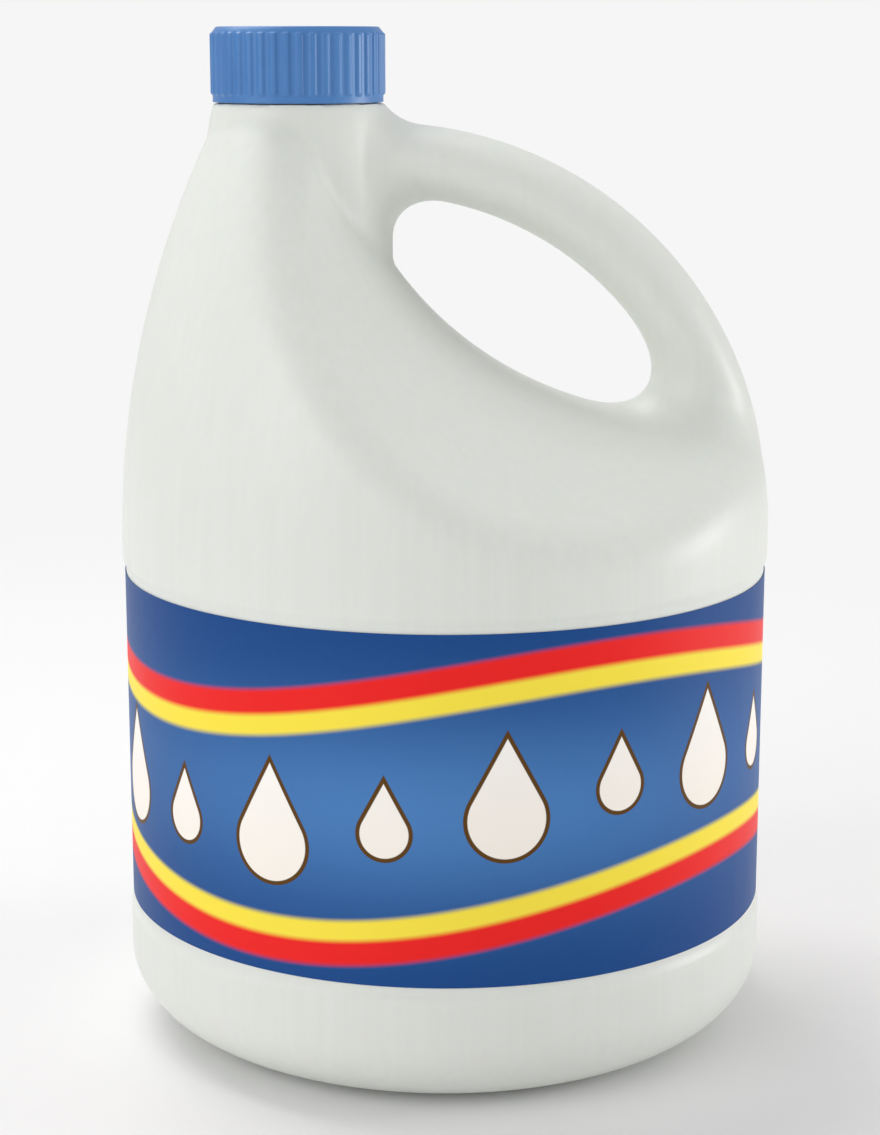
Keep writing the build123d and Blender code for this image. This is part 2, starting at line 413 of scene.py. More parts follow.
@dataclass(frozen=True, kw_only=True)
class LabelPrint(Finish):
    """The wrap label's print: a glowing blue ground, red and yellow ribbons and a row of drops, with
    painted shade that darkens the ground towards the label's sides.
    """

    radius: float
    middle: float
    # the print's darker blue at the ground's top and bottom, and the painted shade at the label's sides
    edge_and_side_shade_blue: Colour = srgb(14, 68, 134)
    glow_blue: Colour = srgb(74, 127, 189)
    red: Colour = srgb(241, 32, 30)
    yellow: Colour = srgb(253, 230, 72)
    cream: Colour = srgb(253, 250, 245)
    warm: Colour = srgb(250, 240, 228)
    brown: Colour = srgb(92, 60, 10)
    waves: int = 2
    wave_rise: float = 7.0 * MM
    glow_height: float = 23.0 * MM
    # share of the glow that the painted shade at the label's sides leaves alone
    unshaded_glow_share: float = 0.62
    grain: Noise = Noise((700.0, 700.0, 700.0))
    grain_tint: float = 0.05
    grain_level: float = 0.4
    ribbon_offset: float = 25.0 * MM
    ribbon_swell: float = 3.5 * MM
    red_width: float = 6.0 * MM
    yellow_width: float = 5.0 * MM
    airbrush: float = 0.9 * MM
    drops: int = 18
    drop_radius: float = 10.2 * MM
    drop_height: float = 21.5 * MM
    small_share: float = 0.66
    sink_share: float = 0.42
    outline: float = 1.0 * MM
    crisp: float = 0.12 * MM
    film: Noise = Noise((180.0, 180.0, 40.0))
    coat: float = 0.02
    coat_spread: float = 0.03
    coat_roughness: float = 0.2
    roughness: float = 0.46
    specular: float = 0.15
    bump_strength: float = 0.15

    def _drop(self, side: Value, up: Value, size: Value) -> Value:
        """How far a point lies outside a drop: a circle with two tangents that meet in a tip above it.

        Args:
            side: The point's distance from the drop's axis.
            up: Its height above the circle's centre.
            size: The drop's size as a share of the large one.

        Returns:
            The distance, negative inside.
        """
        sine = self.drop_radius / self.drop_height
        cosine = math.sqrt(1 - sine**2)
        across, above = side.call("ABSOLUTE") / size, up / size
        round_part = (across * across + above * above).call("SQRT") - self.drop_radius
        flat_part = across * cosine + above * sine - self.drop_radius
        past = (across * sine - above * cosine).below(0.0, self.crisp)
        return (round_part + past * (flat_part - round_part)) * size

    def _ribbon(self, graph: Graph, ground: Socket, height: Value) -> Socket:
        """Lays a red ribbon with a yellow one on its inner side over the ground.

        Args:
            graph: The material's nodes.
            ground: The colour below.
            height: The distance out from the line where the two ribbons meet.

        Returns:
            The colour with the ribbons on it.
        """
        red = height.below(self.red_width, self.airbrush) * (-height).below(self.airbrush, self.airbrush)
        yellow = (-height).below(self.yellow_width, self.airbrush) * height.below(0.0, self.airbrush)
        return graph.mix(yellow, graph.mix(red, ground, self.red), self.yellow)

    def _ground(self, graph: Graph, angle: Value, level: Value) -> Socket:
        """Lays the glowing ground, darkened by painted shade towards the label's sides, and two pairs of
        ribbons, whose middle line waves round the jug.

        Args:
            graph: The material's nodes.
            angle: The angle round the jug.
            level: The height above the label's middle.

        Returns:
            The colour.
        """
        wave = self.wave_rise * (self.waves * angle).call("SINE")
        # one at the front and back and less one at the sides: it swells the printed ribbons and sets the
        # painted shade
        bulge_and_side_shade = (self.waves * angle).call("COSINE")
        swell = self.ribbon_offset + self.ribbon_swell * bulge_and_side_shade
        fade = level / self.glow_height
        # painted shade: the printed glow band is made darker towards the label's sides, so that it is
        # lightest at its front and back
        glow_and_side_shade = (-(fade * fade)).call("EXPONENT") * (self.unshaded_glow_share + (1 - self.unshaded_glow_share) * bulge_and_side_shade)
        glow_and_side_shade = glow_and_side_shade + self.grain_tint * (graph.noise(self.grain) - self.grain_level)
        colour = graph.mix(glow_and_side_shade, self.edge_and_side_shade_blue, self.glow_blue)
        colour = self._ribbon(graph, colour, level - wave - swell)
        return self._ribbon(graph, colour, wave - level - swell)

    def _row(self, graph: Graph, ground: Socket, angle: Value, level: Value) -> Socket:
        """Lays a row of drops, large and small by turns, over the ground.

        Args:
            graph: The material's nodes.
            ground: The colour below.
            angle: The angle round the jug.
            level: The height above the label's middle.

        Returns:
            The colour with the drops on it.
        """
        whole = (angle * (self.drops / TURN) + self.drops).call("FLOOR")
        centre = (whole - self.drops + 0.5) * (TURN / self.drops)
        side = (angle - centre) * self.radius
        size = 1.0 - (1.0 - self.small_share) * whole.call("MODULO", 2.0)
        crest = self.wave_rise * (self.waves * centre).call("SINE")
        above = level - crest + self.sink_share * self.drop_radius * size
        outside = self._drop(side, above, size)
        sheen = above / (2 * self.drop_height) + 0.5
        fill = graph.mix(sheen, self.warm, self.cream)
        outlined = graph.mix(outside.below(0.0, self.crisp), ground, self.brown)
        return graph.mix(outside.below(-self.outline, self.crisp), outlined, fill)

    def build(self) -> Material:
        """Makes the material: the ground, the drops over it and a thin coat."""
        graph = Graph("label_film")
        across, along, height = graph.place()
        angle, level = across.call("ARCTAN2", -along), height - self.middle
        colour = self._row(graph, self._ground(graph, angle, level), angle, level)
        film = graph.noise(self.film)
        others = {
            "Coat Weight": self.coat + self.coat_spread * film,
            "Coat Roughness": self.coat_roughness,
            "Normal": self.bump(graph, film),
        }
        return graph.end(self.shader(graph, colour, film, others))


def join_grids(*grids: tuple[Array, Array]) -> tuple[Array, Array]:
    """Puts several meshes into one.

    Args:
        *grids: The points and faces of each.

    Returns:
        The points and faces together, with the faces renumbered.
    """
    starts = np.cumsum([0] + [len(points) for points, _ in grids[:-1]])
    faces = [quads + start for (_, quads), start in zip(grids, starts)]
    return np.concatenate([points for points, _ in grids]), np.concatenate(faces)


def grid_faces(rows: int, columns: int, close_rows: bool, close_columns: bool) -> Array:
    """Four-sided faces over a grid of points that is numbered row by row.

    Args:
        rows: How many rows there are.
        columns: How many points each has.
        close_rows: Whether the last row meets the first.
        close_columns: Whether each row is a ring.

    Returns:
        The faces, which turn from columns to rows.
    """
    row = np.arange(rows if close_rows else rows - 1)[:, None]
    column = np.arange(columns if close_columns else columns - 1)[None, :]
    next_row, next_column = (row + 1) % rows, (column + 1) % columns
    corners = (
        row * columns + column,
        row * columns + next_column,
        next_row * columns + next_column,
        next_row * columns + column,
    )
    return np.stack(np.broadcast_arrays(*corners), axis=-1).reshape(-1, 4)


def revolve(radius: Array, height: Array, angle: Array, centre: float) -> Array:
    """Points round an upright axis: the cosine and sine of each angle times the radius.

    Args:
        radius: Distance from the axis, by row and angle.
        height: Height of each row.
        angle: The angles.
        centre: The axis's X.

    Returns:
        The points, row by row.
    """
    places = (radius * np.cos(angle) + centre, radius * np.sin(angle), height[:, None])
    return np.stack(np.broadcast_arrays(*places), axis=-1).reshape(-1, 3)


def smooth(share: Array) -> Array:
    """A share's smooth step: three of its squares less two of its cubes."""
    return share * share * (3 - 2 * share)


def make_piece(name: str, points: Array, faces: Array) -> bpy.types.Object:
    """Makes a mesh object at the origin.

    Args:
        name: The piece's name.
        points: Its points, in metres.
        faces: Its faces, each turning left round its outward normal.

    Returns:
        The object.
    """
    mesh = bpy.data.meshes.new(name)
    mesh.from_pydata(points.tolist(), [], faces.tolist())
    mesh.shade_smooth()
    mesh.set_sharp_from_angle(angle=SHARP_ANGLE)
    mesh.update()
    piece = bpy.data.objects.new(name, mesh)
    bpy.context.scene.collection.objects.link(piece)
    return piece


@contextmanager
def opened(mesh: bpy.types.Mesh) -> Iterator[bmesh.types.BMesh]:
    """Opens a mesh for changes, and writes them back at the end.

    Args:
        mesh: The mesh.

    Yields:
        The mesh as it is changed.
    """
    work = bmesh.new()
    work.from_mesh(mesh)
    yield work
    work.to_mesh(mesh)
    work.free()


def dress(piece: bpy.types.Object, material: Material) -> None:
    """Gives a piece its only material.

    Args:
        piece: The piece.
        material: The material.
    """
    piece.data.materials.clear()
    piece.data.materials.append(material)


def length_of(*parts: Array) -> Array:
    """Length of the vectors with these parts, never quite zero."""
    return np.maximum(np.hypot(*parts), LEAST_LENGTH)


def round_join(first: Field, second: Field, fillet: Union[float, Array]) -> Field:
    """The union of two forms, with a fillet where their surfaces meet.

    A fillet touches each surface at its radius times the tangent of half the turn. The rounded
    minimum of two distances touches it at its own radius over the sine of the turn, so the one is
    the other times 1 minus the cosine. Within it, the normals are mixed by what each distance
    falls short of the radius.

    Args:
        first: Distances to the first form, negative inside, and their normals.
        second: Those of the second.
        fillet: The fillet's radius, one or one for each point.

    Returns:
        Distances and normals of both together.
    """
    radius = np.maximum(fillet * (1 - (first[1] * second[1]).sum(axis=-1)), LEAST_LENGTH)
    short = np.maximum(radius - np.stack((first[0], second[0])), 0)
    nearer = np.minimum(first[0], second[0])
    distance = np.maximum(radius, nearer) - np.hypot(*short)
    mixed = short[0][:, None] * first[1] + short[1][:, None] * second[1]
    plain = np.where((first[0] < second[0])[:, None], first[1], second[1])
    normal = np.where((nearer < radius)[:, None], mixed, plain)
    size = np.maximum(np.linalg.norm(normal, axis=-1, keepdims=True), LEAST_NORMAL)
    return distance, normal / size


def round_cut(first: Field, second: Field, fillet: Union[float, Array]) -> Field:
    """What two forms share, with a rounded edge. It is the union of their outsides, turned over."""
    distance, normal = round_join((-first[0], -first[1]), (-second[0], -second[1]), fillet)
    return -distance, -normal


@dataclass
class JugForm:
    """The jug's outer form as a distance field, from the sizes of the blown bottle."""

    shoulder_radius: float = 81.8 * MM
    panel_radius: float = 81.0 * MM
    panel_step: float = 2.4 * MM
    label_margin: float = 1.3 * MM
    heel_width: float = 26.0 * MM
    heel_height: float = 20.0 * MM
    ring_width: float = 4.5 * MM
    base_rise: float = 7.0 * MM
    base_dish: float = 9.0 * MM
    shoulder_height: float = 124.0 * MM
    seat_height: float = 233.5 * MM
    neck_offset: float = 36.2 * MM
    neck_radius: float = 20.8 * MM
    neck_flare: float = 2.4 * MM
    neck_flare_run: float = 6.9 * MM
    neck_reach: float = 16.5 * MM
    neck_sink: float = 2.4 * MM
    neck_foot: float = 173.2 * MM
    dome_power: float = 2.4
    pocket_bite: float = 7.84 * MM
    pocket_centre: float = 61.2 * MM
    pocket_floor: float = 155.4 * MM
    pocket_depth: float = 70.0 * MM
    pocket_growth: float = 103.8 * MM
    pocket_lift: float = 77.4 * MM
    pocket_shift: float = 34.1 * MM
    handle_thickness: float = 17.8 * MM
    handle_width: float = 26.0 * MM
    handle_crown_run: float = 20.2 * MM
    handle_drop: float = 4.7 * MM
    handle_start: float = math.radians(104.0)
    handle_overrun: float = math.radians(25.0)
    handle_foot_height: float = 145.5 * MM
    handle_foot_inset: float = -0.2 * MM
    crease_fillet: float = 14.0 * MM
    neck_fillet: float = 5.0 * MM
    handle_fillet: float = 8.0 * MM
    foot_fillet: float = 14.0 * MM
    edge_rounding: float = 0.5 * MM
    table_step: float = 0.2 * MM

    def __post_init__(self) -> None:
        """Works out the label panel from the label's box, and the tables of the body's circles."""
        low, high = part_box("label")
        self.panel_low = low.z - self.label_margin
        self.panel_high = high.z + self.label_margin
        self.levels = np.arange(0, self.seat_height + self.neck_reach, self.table_step)
        upright, dome = self.levels < self.shoulder_height, self._dome_radius(self.levels)
        self.radii = np.where(upright, self._side(self.levels), dome)
        self.centres = np.where(upright, 0, self._flank(self.levels) + dome)
        self.radius_slopes = np.gradient(self.radii, self.table_step)
        self.centre_slopes = np.gradient(self.centres, self.table_step)
        run = self.pocket_centre + self.neck_offset - self.pocket_bite
        self.pocket_radius = self._arc(run, self.seat_height - self.pocket_floor)
        self._place_handle()

    @staticmethod
    def _arc(run: float, rise: float) -> float:
        """Radius of an arc that starts level and has gone this far across once it has risen so much."""
        return (run**2 + rise**2) / (2 * rise)

    def _side(self, height: Array) -> Array:
        """Radius below the shoulder: an elliptical heel, then the panel between two soft steps.

        Args:
            height: The heights.

        Returns:
            The radius at each.
        """
        rise = np.clip((self.heel_height - height) / self.heel_height, 0, 1)
        heel = self.shoulder_radius - self.heel_width * (1 - np.sqrt(1 - rise**2))
        into = np.clip((height - self.panel_low + self.panel_step) / self.panel_step, 0, 1)
        out = np.clip((height - self.panel_high) / self.panel_step, 0, 1)
        return heel - (self.shoulder_radius - self.panel_radius) * (smooth(into) - smooth(out))

    def _share(self, height: Array) -> Array:
        """Height on the dome as a share of its rise."""
        rise = self.seat_height - self.shoulder_height
        return np.clip((height - self.shoulder_height) / rise, 0, None)

    def _dome_radius(self, height: Array) -> Array:
        """Radius of the dome: full at the shoulder, and narrowing with a power of its share."""
        top = self.neck_radius - self.neck_sink
        return top + (self.shoulder_radius - top) * (1 - self._share(height) ** self.dome_power)

    def _flank(self, height: Array) -> Array:
        """X of the side below the neck, an arc that starts upright on the shoulder.

        Args:
            height: The heights.

        Returns:
            The X at each.
        """
        run = self.shoulder_radius - self.neck_offset - self.neck_radius + self.neck_sink
        rise = self.seat_height - self.shoulder_height
        radius = self._arc(rise, run)
        return radius - self.shoulder_radius - np.sqrt(radius**2 - (self._share(height) * rise) ** 2)

    def _place_handle(self) -> None:
        """Works out the handle's arc, level at its crown and ending at the foot inside the dome."""
        foot = np.array(self.handle_foot_height)
        side = float(self._flank(foot) + 2 * self._dome_radius(foot)) - self.handle_foot_inset
        crown = (self.handle_crown_run - self.neck_offset, self.seat_height - self.handle_drop)
        rise = crown[1] - self.handle_foot_height
        self.arch_radius = self._arc(side - crown[0], rise)
        self.arch_centre = np.array((crown[0], crown[1] - self.arch_radius))
        end = math.asin((self.arch_radius - rise) / self.arch_radius) - self.handle_overrun
        self.start_side = np.array((-math.sin(self.handle_start), math.cos(self.handle_start)))
        self.end_side = np.array((math.sin(end), -math.cos(end)))

    def body(self, points: Array) -> Field:
        """The body and dome: circles whose middles lean towards the neck.

        The distance from the circle at the point's height is divided by the length of its slope.

        Args:
            points: The points, one a row.

        Returns:
            The distances and their normals.
        """
        x, y, z = points.T
        radius, centre = np.interp(z, self.levels, self.radii), np.interp(z, self.levels, self.centres)
        out = length_of(x - centre, y)
        lean = np.interp(z, self.levels, self.centre_slopes) * (x - centre) / out
        rise = -lean - np.interp(z, self.levels, self.radius_slopes)
        length = np.sqrt(1 + rise**2)
        normal = np.stack(((x - centre) / out, y / out, rise), axis=-1) / length[:, None]
        return (out - radius) / length, normal

    def pocket(self, points: Array) -> Field:
        """What lies outside the finger pocket, whose circles grow with the square of y.

        Args:
            points: The points, one a row.

        Returns:
            The distances, negative outside the pocket, and their normals.
        """
        x, y, z = points.T
        grown, slope = (y / self.pocket_depth) ** 2, 2 * y / self.pocket_depth**2
        aside = x - self.pocket_centre - grown * self.pocket_shift
        above = z - self.pocket_floor - self.pocket_radius - grown * self.pocket_lift
        out = length_of(aside, above)
        aside, above = aside / out, above / out
        tilt = slope * (self.pocket_growth + aside * self.pocket_shift + above * self.pocket_lift)
        length = np.sqrt(1 + tilt**2)
        normal = np.stack((-aside, tilt, -above), axis=-1) / length[:, None]
        return (self.pocket_radius + grown * self.pocket_growth - out) / length, normal

    def neck(self, points: Array) -> Field:
        """The round neck, which flares downwards, ever less.

        Args:
            points: The points, one a row.

        Returns:
            The distances and their normals.
        """
        x, y, z = points.T
        fade = np.exp(-np.maximum(self.seat_height - z, 0) / self.neck_flare_run)
        slope = fade * self.neck_flare / self.neck_flare_run
        out = length_of(x + self.neck_offset, y)
        length = np.sqrt(1 + slope**2)
        normal = np.stack(((x + self.neck_offset) / out, y / out, slope), axis=-1) / length[:, None]
        aside = (out - self.neck_radius - self.neck_flare * (1 - fade)) / length
        return np.maximum(aside, self.neck_foot - z), normal

    def handle(self, points: Array) -> Field:
        """The handle: an oval tube along an arc, within the wedge between the arc's ends.

        With the offsets scaled to a unit circle, of length k, and scaled again, of length m, the
        distance is about k times k minus 1, over m.

        Args:
            points: The points, one a row.

        Returns:
            The distances and their normals.
        """
        thick, wide = self.handle_thickness / 2, self.handle_width / 2
        plane = points[:, (0, 2)] - self.arch_centre
        out = length_of(*plane.T)
        offset, y = out - self.arch_radius + thick, points[:, 1]
        once = length_of(offset / thick, y / wide)
        twice = length_of(offset / thick**2, y / wide**2)
        outward, sideways = offset / thick**2 / twice, y / wide**2 / twice
        normal = np.stack((outward * plane[:, 0] / out, sideways, outward * plane[:, 1] / out), axis=-1)
        past = np.maximum(plane @ self.start_side, plane @ self.end_side)
        return np.maximum(once * (once - 1) / twice, past), normal

    def base(self, points: Array) -> Field:
        """What lies above the standing ring and the hollow inside it.

        Args:
            points: The points, one a row.

        Returns:
            The distances and their normals.
        """
        x, y, z = points.T
        out = length_of(x, y)
        ring = self.shoulder_radius - self.heel_width - self.ring_width
        rise = np.clip((ring - out) / self.base_dish, 0, 1) * self.base_rise
        steep = (out < ring) & (out > ring - self.base_dish)
        slope = np.where(steep, self.base_rise / self.base_dish, 0)
        length = np.sqrt(1 + slope**2)
        normal = np.stack((-slope * x / out, -slope * y / out, -np.ones_like(out)), axis=-1)
        return (rise - z) / length, normal / length[:, None]

    def outside(self, points: Array) -> Array:
        """The whole bottle up to the ledge under the cap.

        Args:
            points: The points, one a row.

        Returns:
            The distances to its outer face, negative inside.
        """
        share = np.clip((points[:, 0] + self.neck_offset) / (2 * self.neck_offset), 0, 1)
        fillet = self.handle_fillet + share * (self.foot_fillet - self.handle_fillet)
        upright = np.broadcast_to((0.0, 0.0, 1.0), points.shape)
        form = round_cut(self.body(points), self.pocket(points), self.crease_fillet)
        form = round_join(form, self.neck(points), self.neck_fillet)
        form = round_join(form, self.handle(points), fillet)
        form = round_cut(form, self.base(points), self.edge_rounding)
        return round_cut(form, (points[:, 2] - self.seat_height, upright), self.edge_rounding)[0]


def surface_nets(distances: Array, axes: list[Array]) -> tuple[Array, Array]:
    """Skins a distance field that is sampled on a grid.

    Each cell that the surface crosses gets a point in its middle, and each grid edge that it
    crosses gets a face through the four cells round that edge.

    Args:
        distances: The field at the grid's nodes, negative inside.
        axes: The nodes' places along x, y and z.

    Returns:
        The points, and the faces, turned outwards.
    """
    inside = distances < 0
    near = [slice(None, -1), slice(1, None)]
    count = sum(inside[x, y, z].astype(np.int8) for x in near for y in near for z in near)
    crossed = (count > 0) & (count < 8)
    number = (np.cumsum(crossed) - 1).reshape(crossed.shape)
    middles = [(axis[1:] + axis[:-1]) / 2 for axis in axes]
    points = np.stack([middle[cell] for middle, cell in zip(middles, np.nonzero(crossed))], axis=-1)
    faces = []
    for axis in range(3):
        order = [(axis + step) % 3 for step in range(3)]
        turned, numbered = inside.transpose(order), number.transpose(order)
        low, high = turned[:-1, 1:-1, 1:-1], turned[1:, 1:-1, 1:-1]
        i, j, k = np.nonzero(low != high)
        cells = ((j, k), (j + 1, k), (j + 1, k + 1), (j, k + 1))
        ring = np.stack([numbered[i, *cell] for cell in cells], axis=-1)
        faces.append(np.where(low[i, j, k][:, None], ring, ring[:, ::-1]))
    return points, np.concatenate(faces)


def slopes(field_of: FieldOf, points: Array) -> Array:
    """The slope of a field at each point, from its difference over a small step along each axis.

    Args:
        field_of: The field.
        points: The points, one a row.

    Returns:
        The slopes, one a row.
    """
    steps = np.eye(3) * SLOPE_STEP
    rises = [field_of(points + step) - field_of(points - step) for step in steps]
    return np.stack(rises, axis=-1) / (2 * SLOPE_STEP)


def settle(field_of: FieldOf, points: Array, faces: Array, rounds: int) -> Array:
    """Spreads a skin's points evenly and lays them on the surface.

    Every round lays the points on the surface, by their distance over the field's slope, in a few
    steps. Each round but the first moves every point to the mean of its neighbours before that.

    Args:
        field_of: The field, zero on the surface.
        points: The points.
        faces: The faces.
        rounds: How many rounds there are.

    Returns:
        The settled points.
    """
    ends = np.concatenate([np.stack((faces[:, n], faces[:, (n + 1) % 4])) for n in range(4)], axis=1)
    weight = np.bincount(ends[0], minlength=len(points))[:, None]
    for turn in range(rounds):
        if turn:
            sums = [np.bincount(ends[0], points[ends[1], axis], len(points)) for axis in range(3)]
            points = np.stack(sums, axis=-1) / weight
        for _ in range(LANDING_STEPS):
            slope = slopes(field_of, points)
            size = np.maximum((slope**2).sum(axis=-1), LEAST_SLOPE)
            points = points - (field_of(points) / size)[:, None] * slope
    return points


@dataclass
class JugShell:
    """The blown shell with its threaded mouth, one hollow piece."""

    form: JugForm = field(default_factory=JugForm)
    wall: float = 1.1 * MM
    outer_cell: float = 1.95 * MM
    inner_cell: float = 2.9 * MM
    fine_cell: float = 0.6 * MM
    mouth_radius: float = 17.9 * MM
    mouth_wall: float = 1.6 * MM
    mouth_height: float = 16.4 * MM
    mouth_columns: int = 210
    mouth_cell: float = 0.24 * MM
    rim_rounding: float = 0.5 * MM
    bend_points: int = 5
    thread_turns: float = 1.4
    cut_margin: float = 0.2 * MM
    band_inset: float = 0.4 * MM
    settle_rounds: int = 4

    def _levels(self, cell: float) -> Array:
        """Heights of the grid's layers, closer together at the panel's steps, the base and the ledge.

        Args:
            cell: The spacing elsewhere.

        Returns:
            The heights, lowest first.
        """
        form = self.form
        steps = [
            (-2 * self.fine_cell, 3 * self.fine_cell),
            (form.panel_low - form.panel_step - self.fine_cell, form.panel_low + self.fine_cell),
            (form.panel_high - self.fine_cell, form.panel_high + form.panel_step + self.fine_cell),
            (form.seat_height - 4 * self.fine_cell, form.seat_height + 2 * self.fine_cell),
        ]
        layers = [np.arange(low, high, self.fine_cell) for low, high in steps]
        gaps = [(below[-1] + self.fine_cell, above[0]) for below, above in zip(layers, layers[1:])]
        for low, high in gaps:
            layers.append(np.linspace(low, high, math.ceil((high - low) / cell), endpoint=False))
        return np.sort(np.concatenate(layers))

    def _skin(self, field_of: FieldOf, cell: float) -> tuple[Array, Array]:
        """Skins a field over the whole jug.

        Args:
            field_of: The field.
            cell: The grid's spacing.

        Returns:
            The points and faces.
        """
        reach = self.form.shoulder_radius + 2 * cell
        count = math.ceil(2 * reach / cell)
        side = np.linspace(-reach, reach, count + 1)
        axes = [side, side, self._levels(cell)]
        nodes = np.stack(np.meshgrid(*axes, indexing="ij"), axis=-1)
        distances = field_of(nodes.reshape(-1, 3)).reshape(nodes.shape[:3])
        points, faces = surface_nets(distances, axes)
        return settle(field_of, points, faces, self.settle_rounds), faces

    def _room(self, points: Array) -> Array:
        """The space inside: the outer form taken in by the wall, and the bore up through the ledge.

        Args:
            points: The points, one a row.

        Returns:
            The distances, negative inside.
        """
        form = self.form
        bore = np.hypot(points[:, 0] + form.neck_offset, points[:, 1]) - self.mouth_radius + self.mouth_wall
        bore = np.maximum(bore, form.seat_height - form.neck_reach - points[:, 2])
        room = np.minimum(form.outside(points) + self.wall, bore)
        return np.maximum(room, points[:, 2] - form.seat_height)

    def _open(self, points: Array, faces: Array, radius: float) -> tuple[Array, Array]:
        """Cuts a skin open at the ledge, inside a radius round the neck's axis.

        Args:
            points: The skin's points.
            faces: Its faces.
            radius: The radius, onto which the cut's edge is drawn.

        Returns:
            The opened skin's points and faces.
        """
        form = self.form
        aside = points[:, 0] + form.neck_offset
        out = np.hypot(aside, points[:, 1])
        on_ledge = np.abs(points[:, 2] - form.seat_height) < self.fine_cell / 2
        within = on_ledge & (out < radius + self.cut_margin)
        dropped = within[faces].all(axis=-1)
        kept = faces[~dropped]
        rim = np.intersect1d(faces[dropped], kept)
        points[rim, 0] = aside[rim] / out[rim] * radius - form.neck_offset
        points[rim, 1] *= radius / out[rim]
        points[rim, 2] = form.seat_height
        used = np.unique(kept)
        number = np.full(len(points), -1)
        number[used] = np.arange(len(used))
        return points[used], number[kept]

    def _mouth(self) -> tuple[Array, Array]:
        """The threaded tube that stands in the ledge: its outline carried round the neck's axis.

        Returns:
            The points and faces, closed both ways.
        """
        form = self.form
        rim = form.seat_height + self.mouth_height
        foot = form.seat_height - self.wall
        inner, outer, turn = self.mouth_radius - self.mouth_wall, self.mouth_radius, self.rim_rounding
        bend = np.linspace(0, math.pi / 2, self.bend_points)
        over, under = turn * (1 - np.cos(bend)), turn * (1 - np.sin(bend))
        rows = math.ceil((rim - turn - foot) / self.mouth_cell)
        radius = np.concatenate(((inner, inner), inner + over, outer - under, np.full(rows, outer)))
        side = np.linspace(rim - turn, foot, rows + 1)[1:]
        height = np.concatenate(((foot, rim - 2 * turn), rim - under, rim - over, side))
        angle = np.linspace(0, TURN, self.mouth_columns, endpoint=False)
        ridges = Thread().height(angle[None, :], height[:, None] - form.seat_height, 0.0, self.thread_turns)
        out = radius[:, None] + np.where((radius >= outer - HAIR)[:, None], ridges, 0)
        faces = grid_faces(len(radius), len(angle), True, True)[:, ::-1]
        return revolve(out, height, angle, -form.neck_offset), faces

    def build(self) -> bpy.types.Object:
        """Builds and dresses the shell, its two skins joined by a band of faces at the mouth.

        Returns:
            The shell.
        """
        outer = self._skin(self.form.outside, self.outer_cell)
        outer = self._open(*outer, self.mouth_radius - self.band_inset)
        inner = self._skin(self._room, self.inner_cell)
        inner = self._open(*inner, self.mouth_radius - self.mouth_wall)
        points, faces = join_grids(outer, (inner[0], inner[1][:, ::-1]), self._mouth())
        piece = make_piece("jug_shell", points, faces)
        with opened(piece.data) as work:
            rims = [edge for edge in work.edges if edge.is_boundary]
            for face in bmesh.ops.bridge_loops(work, edges=rims)["faces"]:
                face.smooth = True
        dress(piece, JugPlastic().build())
        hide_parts("jug_body")
        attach(piece, "jug")
        return piece


@dataclass
class Thread:
    """The thread of the neck and of the cap, whose ridges rise with the angle."""

    lead: float = 8.0 * MM
    starts: int = 2
    depth: float = 1.3 * MM
    root_width: float = 2.4 * MM
    crest_width: float = 1.0 * MM
    low: float = 2.6 * MM
    run_out: float = 0.06

    def height(self, angle: Array, level: Array, lag: float, turns: float) -> Array:
        """How far the ridges stand off their wall.

        A ridge's middle is at its low end plus the lead times its turns so far. Across it the height
        falls off from the crest to the root, and it fades in and out over a small part of a turn.

        Args:
            angle: The angle round the axis.
            level: The height above the ledge.
            lag: The angle at which the first ridge starts.
            turns: How many turns each ridge makes.

        Returns:
            The height at each point.
        """
        ridge = np.zeros(np.broadcast(angle, level).shape)
        for start in range(self.starts):
            turned = ((angle - lag) / TURN - start / self.starts) % 1.0
            for whole in range(math.ceil(turns)):
                turn = turned + whole
                away = np.abs(level - self.low - self.lead * turn)
                slope = (self.root_width / 2 - away) / ((self.root_width - self.crest_width) / 2)
                fade = np.clip(np.minimum(turn, turns - turn) / self.run_out, 0, 1)
                ridge = np.maximum(ridge, self.depth * np.clip(slope, 0, 1) * fade)
        return ridge


@dataclass
class WrapLabel:
    """The film label: one strip wound once round the jug, with its end glued over its start."""

    film: float = 0.2 * MM
    clearance: float = 0.02 * MM
    lap: float = 8.0 * MM
    lap_gap: float = 0.015 * MM
    lift_run: float = 6.0 * MM
    columns: int = 420
    rows: int = 24

    def build(self) -> bpy.types.Object:
        """Builds and dresses the label.

        The strip runs from the back round the front to the back again. Along its last stretch its
        radius rises by its own thickness, so that it lies on its start.

        Returns:
            The label.
        """
        low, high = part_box("label")
        inner = high.x - self.film - self.clearance
        sweep = TURN + self.lap / inner
        travel = np.linspace(0, sweep, self.columns)
        angle = math.pi / 2 - self.lap / (2 * inner) + travel
        lift_start = sweep - (self.lap + self.lift_run) / inner
        share = np.clip((travel - lift_start) * inner / self.lift_run, 0, 1)
        lift = (self.film + self.lap_gap) * smooth(share)
        levels = np.linspace(low.z, high.z, self.rows)
        proud = np.concatenate((np.full(self.rows, self.film), np.zeros(self.rows)))
        out = inner + lift[None, :] + proud[:, None]
        points = revolve(out, np.concatenate((levels, levels[::-1])), angle, 0.0)
        faces = np.concatenate((grid_faces(2 * self.rows, self.columns, True, False), self._ends()))
        piece = make_piece("wrap_label", points, faces)
        artwork = LabelPrint(radius=inner + self.film, middle=(low.z + high.z) / 2)
        dress(piece, artwork.build())
        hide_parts("label")
        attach(piece, "jug")
        return piece

    def _ends(self) -> Array:
        """Faces that close the strip's two ends."""
        level, last = np.arange(self.rows - 1), 2 * self.rows - 1
        corners = np.stack((level, level + 1, last - 1 - level, last - level), axis=-1) * self.columns
        return np.concatenate((corners, corners[:, ::-1] + self.columns - 1))


